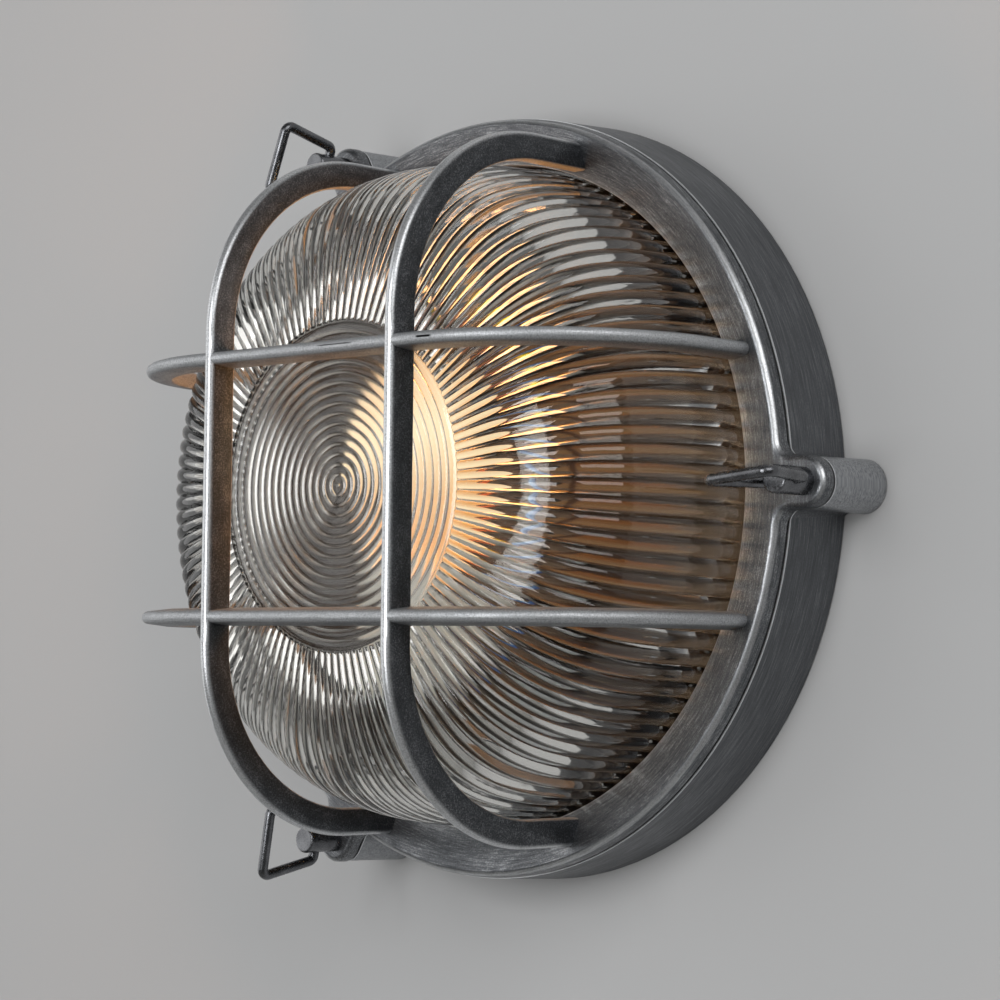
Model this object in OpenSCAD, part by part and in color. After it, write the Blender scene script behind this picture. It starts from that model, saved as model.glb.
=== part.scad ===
// Round bulkhead light with a ribbed glass lens and a cast four-bar cage
// Units are millimetres. The wall is the plane y = 0 and the light faces -Y, with +Z up.

/* [Rear housing] */
// Radius of the housing where it meets the wall
base_r = 110; // [105:0.5:120]
// Depth of the housing from the wall to the seam
housing_depth = 21.7; // [20:0.1:26]
// Narrowing of the housing's radius from the wall to the seam
housing_draft = 1.1; // [0.4:0.1:1.6]
// Thickness of the side wall at the seam
housing_wall = 3.7; // [3:0.1:4.2]
// Thickness of the back plate
back_t = 3.5; // [3:0.1:5]
// Fillet between the back plate and the side wall, inside
cavity_fillet = 4; // [2:0.5:8]
// Height of the pads that screws seat on, above the back plate
pad_h = 2.5; // [2:0.1:4]

/* [Wall fixing] */
// Diameter of the circle that the fixing holes lie on
fixing_pcd = 130; // [120:1:150]
// Number of fixing holes
fixing_count = 4; // [3:1:4]
// Diameter of each fixing hole
fixing_hole_d = 5.5; // [4.5:0.1:6.5]
// Radius of the cable entry hole in the back plate
entry_r = 10; // [8:0.5:12]
// Radius of the cable passage through the grommet
cable_r = 4.5; // [3:0.1:6]
// Width of the grommet's lips beyond the entry hole
grommet_lip = 3; // [2:0.1:4]
// Thickness of each grommet lip
grommet_lip_t = 1.4; // [1:0.1:1.8]

/* [Guard ring] */
// Thickness of the black gasket that shows in the seam
rim_gasket_t = 0.6; // [0.4:0.1:1.2]
// Height of the ring's outer band
ring_band = 4.5; // [4:0.1:7]
// Step from the housing's side in to the ring's side
seam_step = 0.2; // [0:0.1:0.6]
// Narrowing of the ring's radius from seam to front
ring_draft = 0.8; // [0.2:0.1:1.2]
// Width of the ring's face
ring_width = 12.7; // [12:0.1:14]
// Fall of the ring's face towards the lens
ring_dish = 2.8; // [0:0.1:3.2]
// Radius of the ring's outer front edge
ring_edge_r = 1; // [0.4:0.1:1.6]
// Depth of the spigot that enters the housing
spigot_h = 1.3; // [0.8:0.1:2]
// Clearance between the spigot and the housing
spigot_gap = 0.6; // [0.3:0.1:1]

/* [Cage bars] */
// Distance of each bar's middle plane from the light's axis
bar_offset = 35.75; // [30:0.25:42]
// Width of a bar at its rounded crest
bar_crest_w = 3.6; // [3:0.1:4.4]
// Width of a bar at its back
bar_back_w = 5; // [4.6:0.1:6]
// Depth of a bar from crest to back
bar_depth = 8; // [6.5:0.1:9]
// Gap between the lens front and the back of the bars
cage_gap = 8.6; // [5:0.1:14]
// Radius of the bend of the bars' crest
bar_bend_r = 55; // [40:0.5:58]
// Distance of the bars' crest in from the ring's front edge
bar_setback = 3.6; // [3:0.1:4.2]

/* [Lens] */
// Clearance between the lens and the ring's bore
lens_gap = 1; // [0.6:0.1:1.4]
// Height of the dome above its flange
dome_h = 62.3; // [55:0.1:70]
// Radius of the front disc with the concentric rings
disc_r = 45.5; // [40:0.5:50]
// Number of radial ribs
rib_count = 116; // [100:2:124]
// Height of the radial ribs
rib_h = 0.9; // [0.5:0.1:1.2]
// Number of concentric rings on the front disc
ring_count = 16; // [12:1:18]
// Height of the concentric rings
ring_h = 0.6; // [0.3:0.1:0.9]
// Thickness of the glass
glass_t = 4; // [3.2:0.1:5]
// Length of the shoulder's lead from the disc
shoulder_lead = 34.5; // [28:0.5:38]
// Fall of the shoulder at the disc in degrees
shoulder_fall = 5.3; // [2:0.1:8]
// Length of the side wall's lead up from the flange
wall_lead = 53; // [44:0.5:56]
// Lap of the lens flange under the ring
flange_lap = 2.8; // [2.2:0.1:2.9]
// Thickness of the lens flange
flange_t = 3.5; // [3:0.1:4.5]
// Thickness of the lens gasket
lens_gasket_t = 1.6; // [1:0.1:2]

/* [Lens clips] */
// Number of clips that hold the lens
clip_count = 3; // [3:1:6]
// Width of a clip
clip_w = 8; // [6:0.5:10]
// Thickness of a clip
clip_t = 0.8; // [0.6:0.1:1.2]
// Lap of a clip over the lens flange
clip_lap = 2; // [1.5:0.1:2.4]
// Radius of the screw bosses behind the ring
boss_r = 3; // [2.8:0.05:3.1]
// Clearance between a boss and the lens flange
boss_gap = 0.4; // [0.2:0.05:0.5]

/* [Thumbscrews and lugs] */
// Distance of the screws' axes outside the ring's radius
screw_out = 7.5; // [6.5:0.1:9]
// Radius of the lugs at the seam
lug_r = 6.8; // [6.2:0.1:7.6]
// Widening of the lugs' radius from the seam to the wall
lug_flare = 0.5; // [0.2:0.1:1]
// Radius of the fillets between a lug and the round side
lug_fillet = 5; // [3:0.5:7]
// Radius of the lugs' front edge
lug_edge_r = 1.2; // [0.6:0.1:1.8]
// Radius of the screw's shank
shank_r = 2.5; // [2:0.1:3]
// Length of thread inside the housing's lug
thread_l = 14; // [10:0.5:16]
// Radius of the screw's head
head_r = 3.75; // [3.4:0.05:4.2]
// Length of the screw's head
head_l = 12; // [10.5:0.1:14]
// Distance from the lug's face to the cross hole
hole_up = 7.2; // [6.4:0.1:8]
// Turn of the right screw's cross hole, in degrees from +X
turn_right = 5; // [0:1:180]
// Turn of the upper screw's cross hole, in degrees from +X
turn_upper = 68; // [0:1:180]
// Turn of the lower screw's cross hole, in degrees from +X
turn_lower = 80; // [0:1:180]

/* [Bails] */
// Diameter of the bail wire
wire_d = 3; // [2.4:0.1:3.2]
// Reach of the bail from the cross hole to its far side
bail_reach = 19.5; // [16:0.5:19.5]
// Length of the bail's far side, between wire centres
bail_far = 20.6; // [17:0.2:22]
// Bend radius of the wire's centre line
wire_bend_r = 2; // [1.8:0.1:2.6]
// Depth of each wire end inside the head
pin_l = 2.6; // [2:0.1:3]

/* [Bulb and holder] */
// Distance of the bulb's axis from the wall
bulb_out = 45; // [43:0.5:47]
// Height of the bulb's middle above the light's axis
bulb_up = 15; // [10:0.5:18]
// Radius of the bulb's globe
bulb_r = 22.5; // [20:0.5:25]
// Radius of the bulb's screw cap
cap_r = 12.7; // [12.4:0.1:13]
// Height from the cap's contact to the middle of the globe
bulb_stem_l = 59.4; // [56:0.2:62]
// Radius of the ceramic holder
holder_r = 18; // [17:0.25:20]
// Height of the ceramic holder
holder_h = 36; // [34:0.5:40]
// Depth of the holder's socket
socket_depth = 26; // [24:0.5:28]
// Thickness of the holder's metal shell
shell_t = 0.5; // [0.4:0.05:0.8]
// Thickness of the bracket's steel
bracket_t = 1.5; // [1.2:0.1:2]
// Width of the bracket
bracket_w = 30; // [26:0.5:36]
// Length of the bracket's foot
foot_l = 20; // [18:0.5:24]

/* [Terminals] */
// Width of the terminal block
block_w = 34; // [32:0.5:40]
// Height of the terminal block up the wall
block_h = 17; // [15:0.5:20]
// Depth of the terminal block from its seat
block_d = 14; // [12:0.5:16]
// Height of the terminal block's middle above the light's axis
block_up = 62; // [58:0.5:68]
// Radius of the insulated wires
lead_r = 1.2; // [0.8:0.1:1.5]

/* [Small screws] */
// Shank radius of the larger screws
screw_r = 2; // [1.6:0.1:2.2]
// Shank radius of the lens clip screws
clip_screw_r = 1.4; // [1.2:0.1:1.5]
// Clearance round every screw's shank
screw_clear = 0.1; // [0.05:0.05:0.15]
// Clearance of the bail's wire in the cross hole
pin_clear = 0.06; // [0.03:0.01:0.1]

/* [Hidden] */

$fn = 96;
// Extra length of a cutting tool beyond the face it opens
cut = 1;
// Face-to-face clearance between neighbours of one body
seat_gap = 0.1;
// Bite of a fillet into the faces that it blends
blend = 0.3;
// Depth of a fillet's root below the round side
fillet_root = 2;

// Radii and depths from the wall, worked outwards from the housing
seam_r = base_r - housing_draft;
cavity_r = seam_r - housing_wall;
pad_top = back_t + pad_h;
guard_back = housing_depth + rim_gasket_t;
ring_front = guard_back + ring_band;
ring_r = seam_r - seam_step;
ring_front_r = ring_r - ring_draft;
ring_inner_r = ring_front_r - ring_width;
spigot_r = cavity_r - spigot_gap;
spigot_back = guard_back - spigot_h;
ring_flank = atan(ring_draft / ring_band);

// Lens, from the ring's bore inwards
lens_r = ring_inner_r - lens_gap;
lens_seat = spigot_back - lens_gasket_t;
lens_front = lens_seat + dome_h;
flange_r = ring_inner_r + flange_lap;
flange_back = lens_seat - flange_t;
lens_sides = rib_count / 2;
lens_bands = 6;

// Lens clips, on bosses between the flange and the spigot's edge
boss_at = flange_r + boss_gap + boss_r;
clip_from = flange_r - clip_lap;
clip_to = boss_at + boss_r - seat_gap;
clip_first = 180 / clip_count;
clip_thread = flange_t + lens_gasket_t;

// Cage arch in the plane of a bar: u runs along the bar, d away from the wall
bar_crest_d = lens_front + cage_gap + bar_depth;
bar_land_r = ring_front_r - bar_setback;
bar_half = round(100 * sqrt(bar_land_r * bar_land_r - bar_offset * bar_offset)) / 100;
bend_d = bar_crest_d - bar_bend_r;
bend_u = bar_half - bar_bend_r;
bar_root = guard_back + cut;
bar_flank = 77;

// Thumbscrews
screw_at = ring_r + screw_out;
screw_angles = [0, 120, 240];
hole_r = shank_r + screw_clear;
retainer_r = shank_r * 1.7;
retainer_t = 1;
retainer_gap = 0.3;
counterbore_r = retainer_r + 2 * retainer_gap;
counterbore_h = retainer_t + 2 * retainer_gap + cut;
head_edge = 0.6;

// Bail, in its own plane: x along the cross hole, y outwards
wire_r = wire_d / 2;
wire_sides = 12;
wire_stub = 0.6;
pin_relief = 0.02;
pin_r = wire_r * cos(180 / wire_sides) - pin_relief;
bail_gap = 0.9;
leg_x = head_r + wire_r + bail_gap;
leg_angle = atan2(bail_reach, bail_far / 2 - leg_x);
bail_hole_d = ring_front + hole_up;

// Bulb and holder: heights are along Z
contact_h = 1.6;
holder_bottom = bulb_up - bulb_stem_l - contact_h - (holder_h - socket_depth) - seat_gap;
holder_top = holder_bottom + holder_h;
socket_floor = holder_top - socket_depth;
cap_gap = 0.6;
shell_out_r = cap_r + shell_t + cap_gap;
socket_r = shell_out_r + seat_gap;
shelf_top = holder_bottom;
shelf_end = bulb_out + holder_r;
foot_mid = shelf_top - bracket_t - foot_l / 2;
foot_screw_x = bracket_w * 0.3;
holder_screw_x = holder_r * 0.55;
wire_port_x = holder_r * 0.45;
wire_port_z = holder_bottom + (holder_h - socket_depth) / 2;
wire_port_l = 8;
cap_foot_r = cap_r * 0.75;
cap_foot_h = 4;
cap_taper_h = 6;

// Terminal block with three ways
way_x = block_w / 3;
block_bottom = block_up - block_h / 2;
block_screw_y = block_h * 0.28;
way_d = pad_top + block_d * 0.4;
way_r = lead_r + 0.8;
terminal_r = 1.8;
terminal_l = block_d * 0.45;
slot_w = 0.8;
slot_d = 1;
groove_w = 1.6;

// Wires: straight lengths in a terminal and in a port, and the leads of the curve between
terminal_in = 6.5;
port_in = 5;
lead_drop = 40;
lead_turn = 14;
lead_sides = 8;
lead_rings = 14;

// Earth screw with the ring tag of its wire
earth_at = [0, 38];
tag_t = 0.8;
tag_r = screw_r * 1.8;
tag_l = 9;
tag_bite = 0.5;
tag_grip = 4.5;

// Proportions of a pan head over its shank
pan_r = 1.8;
pan_h = 1.2;

function arc(c, r, a0, a1, n) = [for (i = [0:n])
    let (a = a0 + (a1 - a0) * i / n) c + r * [cos(a), sin(a)]];

function bezier(p, t) = pow(1 - t, 3) * p[0] + 3 * t * pow(1 - t, 2) * p[1]
    + 3 * t * t * (1 - t) * p[2] + pow(t, 3) * p[3];

// Turns a shape drawn with z away from the wall and y up into the light's frame
module on_wall() {
    rotate([90, 0, 0])
        children();
}

// Repeats a shape at each of the three lugs, along its own x axis
module at_lugs() {
    for (a = screw_angles)
        rotate([0, 0, a])
            translate([screw_at, 0, 0])
                children();
}

module at_clips() {
    for (i = [0:clip_count - 1])
        rotate([0, 0, clip_first + i * 360 / clip_count])
            translate([boss_at, 0, 0])
                children();
}

module at_fixings() {
    for (i = [0:fixing_count - 1])
        rotate([0, 0, (i + 0.5) * 360 / fixing_count])
            translate([fixing_pcd / 2, 0, 0])
                children();
}

// Screw with a domed head at z = 0 and its shank down -z
module pan_screw(r, l) {
    rotate_extrude()
        polygon(concat([[0, -l], [r, -l], [r, 0], [r * pan_r, 0]],
            arc([r * pan_r - r * pan_h, 0], r * pan_h, 0, 90, 4), [[0, r * pan_h]]));
}

// Concave fillets that blend a lug's sides into the round side of radius side_r
module lug_fillets(side_r, h) {
    cy = lug_r + lug_fillet - blend;
    cx = sqrt(pow(side_r + lug_fillet - blend, 2) - cy * cy);
    inner = (side_r - fillet_root) / (side_r + lug_fillet);
    foot = lug_r - cut;
    for (m = [0, 1])
        mirror([0, m, 0])
            difference() {
                linear_extrude(h)
                    polygon([[cx, foot], [cx, cy], [cx * inner, cy * inner], [cx * inner, foot]]);
                translate([cx, cy, -cut])
                    cylinder(r = lug_fillet, h = h + 2 * cut);
            }
}

// Rear housing

module housing_lug() {
    cylinder(r1 = lug_r + lug_flare, r2 = lug_r, h = housing_depth);
    translate([-screw_at, 0, 0])
        lug_fillets(seam_r, housing_depth);
    translate([-screw_out - housing_wall / 2, -lug_r, 0])
        cube([screw_out + housing_wall / 2, 2 * lug_r, housing_depth]);
}

module pad(x, y, r) {
    translate([x, y, back_t - cut])
        cylinder(r = r, h = pad_h + cut);
}

module tapped(x, y, r, top, l) {
    translate([x, y, top - l])
        cylinder(r = r + screw_clear, h = l + cut);
}

module rear_housing() {
    tap_l = pad_top - cut;
    fillet_at = [cavity_r - cavity_fillet, back_t + cavity_fillet];
    color("dimgray")
        on_wall()
            difference() {
                union() {
                    rotate_extrude()
                        polygon(concat(
                            [[0, 0], [base_r, 0], [seam_r, housing_depth], [cavity_r, housing_depth]],
                            arc(fillet_at, cavity_fillet, 0, -90, 4),
                            [[0, back_t]]));
                    at_lugs()
                        housing_lug();
                    at_fixings()
                        pad(0, 0, fixing_hole_d);
                    for (s = [-1, 1])
                        pad(s * foot_screw_x, foot_mid, 2 * screw_r);
                    for (s = [-1, 1])
                        pad(s * way_x / 2, block_up, 2 * screw_r);
                    pad(earth_at[0], earth_at[1], 2 * screw_r);
                }
                at_lugs() {
                    translate([0, 0, housing_depth - thread_l])
                        cylinder(r = hole_r, h = thread_l + cut);
                    translate([0, 0, housing_depth - counterbore_h])
                        cylinder(r = counterbore_r, h = counterbore_h + cut);
                }
                at_fixings()
                    translate([0, 0, -cut])
                        cylinder(d = fixing_hole_d, h = pad_top + 2 * cut);
                translate([0, 0, -cut])
                    cylinder(r = entry_r, h = back_t + 2 * cut);
                translate([0, 0, -cut])
                    cylinder(r = entry_r + grommet_lip + seat_gap, h = grommet_lip_t + cut);
                for (s = [-1, 1])
                    tapped(s * foot_screw_x, foot_mid, screw_r, pad_top, tap_l);
                tapped(way_x / 2, block_up, clip_screw_r, pad_top, tap_l);
                tapped(earth_at[0], earth_at[1], screw_r, pad_top, tap_l);
            }
}

module rim_gasket() {
    color("black")
        on_wall()
            translate([0, 0, housing_depth])
                rotate_extrude()
                    translate([cavity_r + spigot_gap / 2, 0])
                        square([housing_wall - spigot_gap, rim_gasket_t]);
}

module cable_grommet() {
    lip_r = entry_r + grommet_lip;
    neck_r = entry_r - seat_gap;
    top = back_t + grommet_lip_t;
    color("#1c1c1c")
        on_wall()
            rotate_extrude()
                polygon([[cable_r, 0], [lip_r, 0], [lip_r, grommet_lip_t], [neck_r, grommet_lip_t],
                    [neck_r, back_t], [lip_r, back_t], [lip_r - grommet_lip_t / 2, top], [cable_r, top]]);
}

// Lampholder and bulb

module lampholder_bracket() {
    bend = 2 * bracket_t;
    color("silver")
        difference() {
            translate([bracket_w / 2, 0, 0])
                rotate([90, 0, -90])
                    linear_extrude(bracket_w)
                        polygon(concat(
                            [[pad_top, foot_mid - foot_l / 2]],
                            arc([pad_top + bend, shelf_top - bend], bend, 180, 90, 5),
                            [[shelf_end, shelf_top], [shelf_end, shelf_top - bracket_t]],
                            arc([pad_top + bend, shelf_top - bend], bend - bracket_t, 90, 180, 5),
                            [[pad_top + bracket_t, foot_mid - foot_l / 2]]));
            for (s = [-1, 1]) {
                on_wall()
                    translate([s * foot_screw_x, foot_mid, pad_top - cut])
                        cylinder(r = screw_r + screw_clear, h = bracket_t + 2 * cut);
                translate([s * holder_screw_x, -bulb_out, shelf_top - bracket_t - cut])
                    cylinder(r = screw_r + screw_clear, h = bracket_t + 2 * cut);
            }
        }
}

module bracket_screws() {
    color("gainsboro")
        on_wall()
            for (s = [-1, 1])
                translate([s * foot_screw_x, foot_mid, pad_top + bracket_t])
                    pan_screw(screw_r, bracket_t + pad_top - 2 * cut);
}

module lampholder() {
    step = holder_r / 6;
    floor_h = holder_h - socket_depth;
    color("ivory")
        translate([0, -bulb_out, holder_bottom])
            difference() {
                rotate_extrude()
                    polygon(concat(
                        [[0, 0], [holder_r, 0], [holder_r, floor_h], [holder_r - step / 2, floor_h + step]],
                        arc([holder_r - step * 3 / 2, holder_h - step], step, 0, 90, 4),
                        [[socket_r, holder_h], [socket_r, floor_h], [0, floor_h]]));
                for (s = [-1, 1]) {
                    translate([s * holder_screw_x, 0, -cut])
                        cylinder(r = screw_r + screw_clear, h = floor_h);
                    translate([s * wire_port_x, holder_r, wire_port_z - holder_bottom])
                        rotate([90, 0, 0])
                            cylinder(r = way_r, h = wire_port_l);
                }
            }
}

module lampholder_shell() {
    lip = 4 * shell_t;
    color("goldenrod")
        translate([0, -bulb_out, socket_floor])
            rotate_extrude()
                polygon([[shell_out_r - lip, 0], [shell_out_r, 0], [shell_out_r, socket_depth - cut],
                    [shell_out_r - shell_t, socket_depth - cut], [shell_out_r - shell_t, shell_t],
                    [shell_out_r - lip, shell_t]]);
}

module lampholder_contact() {
    color("goldenrod")
        translate([0, -bulb_out, socket_floor])
            rotate_extrude()
                polygon([[0, 0], [cap_r / 2, 0], [cap_r / 2, contact_h / 2], [cap_r / 3, contact_h],
                    [0, contact_h]]);
}

module lampholder_screws() {
    color("gainsboro")
        for (s = [-1, 1])
            translate([s * holder_screw_x, -bulb_out, shelf_top - bracket_t])
                rotate([180, 0, 0])
                    pan_screw(screw_r, bracket_t + holder_h - socket_depth - 2 * cut);
}

// Screw-cap bulb with a round opal globe
module bulb() {
    tip = -bulb_stem_l;
    cap_top = tip + socket_depth - contact_h;
    neck_r = cap_r * 1.02;
    neck_angle = -acos(neck_r / bulb_r);
    color("lightyellow")
        translate([0, -bulb_out, bulb_up])
            rotate_extrude()
                polygon(concat(
                    [[0, tip], [cap_r / 3, tip], [cap_foot_r, tip + cap_foot_h], [cap_r, tip + cap_taper_h],
                        [cap_r, cap_top], [neck_r, cap_top]],
                    arc([0, 0], bulb_r, neck_angle, 90, 20)));
}

// Terminals and wiring

module terminal_block() {
    color("whitesmoke")
        on_wall()
            difference() {
                translate([-block_w / 2, block_bottom, pad_top])
                    cube([block_w, block_h, block_d]);
                for (i = [-1:1]) {
                    translate([i * way_x, block_up + block_h / 2 + cut, way_d])
                        rotate([90, 0, 0])
                            cylinder(r = way_r, h = block_h + 2 * cut);
                    for (s = [-1, 1])
                        translate([i * way_x, block_up + s * block_screw_y, way_d])
                            cylinder(r = terminal_r + screw_clear, h = block_d + cut);
                }
                for (i = [-1, 1])
                    translate([(i * way_x - groove_w) / 2, block_bottom - cut, pad_top + block_d - groove_w])
                        cube([groove_w, block_h + 2 * cut, groove_w + cut]);
                translate([way_x / 2, block_up, pad_top - cut])
                    cylinder(r = clip_screw_r + screw_clear, h = block_d + 2 * cut);
            }
}

module terminal_screws() {
    color("gainsboro")
        on_wall()
            for (i = [-1:1], s = [-1, 1])
                translate([i * way_x, block_up + s * block_screw_y, way_d + lead_r + seat_gap])
                    difference() {
                        cylinder(r = terminal_r, h = terminal_l);
                        translate([-terminal_r - cut, -slot_w / 2, terminal_l - slot_d])
                            cube([2 * terminal_r + 2 * cut, slot_w, slot_d + cut]);
                    }
}

module terminal_fixing_screw() {
    color("gainsboro")
        on_wall()
            translate([way_x / 2, block_up, pad_top + block_d])
                pan_screw(clip_screw_r, block_d + pad_h);
}

module earth_screw() {
    color("gold")
        on_wall()
            translate([earth_at[0], earth_at[1], pad_top + tag_t])
                pan_screw(screw_r, tag_t + pad_h + cut);
}

// Round wire along a path, with rings square to it and to the side that ref points out of
module tube(path, r, sides, ref) {
    rings = len(path);
    pts = [for (k = [0:rings - 1])
        let (v = path[min(k + 1, rings - 1)] - path[max(k - 1, 0)], s = cross(v, ref), n = s / norm(s),
            b = cross(v, n) / norm(v))
        for (i = [0:sides - 1])
            path[k] + r * (cos(i * 360 / sides) * n + sin(i * 360 / sides) * b)];
    walls = [for (k = [0:rings - 2], i = [0:sides - 1])
        let (j = (i + 1) % sides, a = k * sides, b = a + sides)
        each [[a + i, b + i, b + j], [a + i, b + j, a + j]]];
    ends = [[for (i = [0:sides - 1]) i], [for (i = [sides - 1:-1:0]) (rings - 1) * sides + i]];
    polyhedron(pts, concat(walls, ends));
}

// Insulated wire along a curve, with a straight length at each end
module lead(p, start, end) {
    curve = [for (k = [0:lead_rings]) bezier(p, k / lead_rings)];
    tube(concat([p[0] + start], curve, [p[3] + end]), lead_r, lead_sides, [1, 0, 0]);
}

// Lead from a way of the terminal block down the back to a port of the holder
module holder_lead(side) {
    from = [side * way_x, -way_d, block_bottom - lead_r];
    to = [side * wire_port_x, -(bulb_out - holder_r - lead_r), wire_port_z];
    lead([from, from - [0, 0, lead_drop], to + [0, lead_turn, 0], to],
        [0, 0, terminal_in], [0, -port_in, 0]);
}

module live_wire() {
    color("saddlebrown")
        holder_lead(-1);
}

module neutral_wire() {
    color("royalblue")
        holder_lead(1);
}

// Earth wire with a ring tag under its screw
module earth_wire() {
    from = [0, -way_d, block_bottom - lead_r];
    to = [0, -(pad_top + tag_t + lead_r - tag_bite), earth_at[1] + tag_l];
    half = [0, 0, (from[2] - to[2]) / 2];
    color("yellowgreen") {
        lead([from, from - half, to + half, to], [0, 0, terminal_in], [0, 0, -tag_grip]);
        on_wall()
            translate([earth_at[0], earth_at[1], pad_top])
                difference() {
                    union() {
                        cylinder(r = tag_r, h = tag_t);
                        translate([-lead_r, 0, 0])
                            cube([2 * lead_r, tag_l, tag_t]);
                    }
                    translate([0, 0, -cut])
                        cylinder(r = screw_r + screw_clear, h = tag_t + 2 * cut);
                }
    }
}

// Guard

// Bar section: x runs in from the crest, y across the bar
module bar_section() {
    r = bar_crest_w / 2;
    polygon(concat(arc([-r, 0], r, -bar_flank, bar_flank, 7),
        [[-bar_depth, bar_back_w / 2], [-bar_depth, -bar_back_w / 2]]));
}

// One arched bar over the x axis, with z away from the wall
module bar() {
    rotate([90, 0, 0]) {
        for (m = [0, 1])
            mirror([m, 0, 0]) {
                translate([bend_u, bend_d, 0])
                    rotate_extrude(angle = 90)
                        translate([bar_bend_r, 0])
                            bar_section();
                translate([bar_half, bend_d, 0])
                    rotate([90, 0, 0])
                        linear_extrude(bend_d - bar_root)
                            bar_section();
            }
        translate([-bend_u, bar_crest_d, 0])
            rotate([0, 0, 90])
                rotate([90, 0, 0])
                    linear_extrude(2 * bend_u)
                        bar_section();
    }
}

module guard_ring() {
    edge = [ring_front_r - ring_edge_r, ring_front - ring_edge_r];
    rotate_extrude()
        polygon(concat(
            [[ring_inner_r, spigot_back], [spigot_r, spigot_back], [spigot_r, guard_back],
                [ring_r, guard_back]],
            arc(edge, ring_edge_r, ring_flank, 90, 4),
            [[ring_inner_r, ring_front - ring_dish]]));
}

// Lug in front of the seam, with a rounded front edge
module guard_lug() {
    core = lug_r - lug_edge_r;
    rotate_extrude()
        polygon(concat([[0, guard_back], [lug_r, guard_back]],
            arc([core, ring_front - lug_edge_r], lug_edge_r, 0, 90, 4), [[0, ring_front]]));
    translate([-screw_out - ring_edge_r, 0, 0])
        rotate([90, 0, 90])
            linear_extrude(screw_out + ring_edge_r)
                polygon(concat([[-lug_r, guard_back], [lug_r, guard_back]],
                    arc([core, ring_front - lug_edge_r], lug_edge_r, 0, 90, 4),
                    arc([-core, ring_front - lug_edge_r], lug_edge_r, 90, 180, 4)));
    translate([-screw_at, 0, guard_back])
        lug_fillets(ring_front_r, ring_band - lug_edge_r / 2);
}

module guard() {
    color("slategray")
        on_wall()
            difference() {
                union() {
                    guard_ring();
                    at_lugs()
                        guard_lug();
                    for (s = [-1, 1]) {
                        translate([0, s * bar_offset, 0])
                            bar();
                        rotate([0, 0, 90])
                            translate([0, s * bar_offset, 0])
                                bar();
                    }
                    at_clips()
                        translate([0, 0, flange_back])
                            cylinder(r = boss_r, h = clip_thread + cut);
                }
                at_lugs()
                    translate([0, 0, spigot_back])
                        cylinder(r = hole_r, h = ring_front);
                at_clips()
                    translate([0, 0, flange_back - cut])
                        cylinder(r = clip_screw_r + screw_clear, h = clip_thread + cut);
            }
}

// Lens

// Outer or inner meridian of the dome: radius and distance from the wall
function meridian(r, base, front, lead) = [[disc_r, front],
    [disc_r + lead * cos(shoulder_fall), front - lead * sin(shoulder_fall)],
    [r, base + wall_lead], [r, base]];
function circle_at(r, d, n) = [for (i = [0:n - 1]) [r * cos(i * 360 / n), r * sin(i * 360 / n), d]];
function ribbed_at(r, d, n) = [for (i = [0:n - 1])
    let (q = r - (i % 2) * rib_h) [q * cos(i * 360 / n), q * sin(i * 360 / n), d]];

// Faces between a ring of n points and the next, where either may have four times as many
function band_same(a, b, n) = [for (i = [0:n - 1]) let (j = (i + 1) % n)
    each [[a + i, a + j, b + j], [a + i, b + j, b + i]]];
function band_split(a, b, n) = [for (i = [0:n - 1]) let (j = (i + 1) % n, k = 4 * i, l = (k + 4) % (4 * n))
    each [[a + i, b + k + 1, b + k], [a + i, b + k + 2, b + k + 1], [a + i, a + j, b + k + 2],
        [a + j, b + k + 3, b + k + 2], [a + j, b + l, b + k + 3]]];
function band_merge(a, b, n) = [for (i = [0:n - 1]) let (j = (i + 1) % n, k = 4 * i, l = (k + 4) % (4 * n))
    each [[a + k, a + k + 1, b + i], [a + k + 1, a + k + 2, b + i], [a + k + 2, b + j, b + i],
        [a + k + 2, a + k + 3, b + j], [a + k + 3, a + l, b + j]]];

module lens() {
    n = lens_sides;
    outer = meridian(lens_r, lens_seat, lens_front, shoulder_lead);
    inner = meridian(lens_r - glass_t, flange_back, lens_front - glass_t, shoulder_lead - glass_t);
    rim = disc_r - rib_h - ring_h;
    disc_n = 2 * ring_count;
    disc = [for (k = [1:disc_n])
        each circle_at(rim * k / disc_n, lens_front - (k % 2) * ring_h, n)];
    dome = [for (k = [0:lens_bands])
        let (p = bezier(outer, k / lens_bands)) each ribbed_at(p[0], p[1], 4 * n)];
    flange = concat(circle_at(flange_r, lens_seat, n), circle_at(flange_r, flange_back, n));
    inside = [for (k = [lens_bands:-1:0])
        let (p = bezier(inner, k / lens_bands)) each circle_at(p[0], p[1], n)];
    points = concat([[0, 0, lens_front]], disc, dome, flange, inside, [[0, 0, lens_front - glass_t]]);
    dome_at = 1 + disc_n * n;
    flange_at = dome_at + (lens_bands + 1) * 4 * n;
    inside_at = flange_at + 2 * n;
    back = len(points) - 1;
    faces = concat(
        [for (i = [0:n - 1]) [0, 1 + (i + 1) % n, 1 + i]],
        [for (k = [0:disc_n - 2]) each band_same(1 + k * n, 1 + (k + 1) * n, n)],
        band_split(dome_at - n, dome_at, n),
        [for (k = [0:lens_bands - 1])
            each band_same(dome_at + k * 4 * n, dome_at + (k + 1) * 4 * n, 4 * n)],
        band_merge(flange_at - 4 * n, flange_at, n),
        [for (k = [0:lens_bands + 1]) each band_same(flange_at + k * n, flange_at + (k + 1) * n, n)],
        [for (i = [0:n - 1]) [back - n + i, back - n + (i + 1) % n, back]]);
    color("lightcyan", 0.5)
        on_wall()
            polyhedron(points, faces);
}

module lens_gasket() {
    inner_r = ring_inner_r + seat_gap;
    color("black")
        on_wall()
            translate([0, 0, lens_seat])
                rotate_extrude()
                    translate([inner_r, 0])
                        square([flange_r - inner_r, lens_gasket_t]);
}

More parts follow.
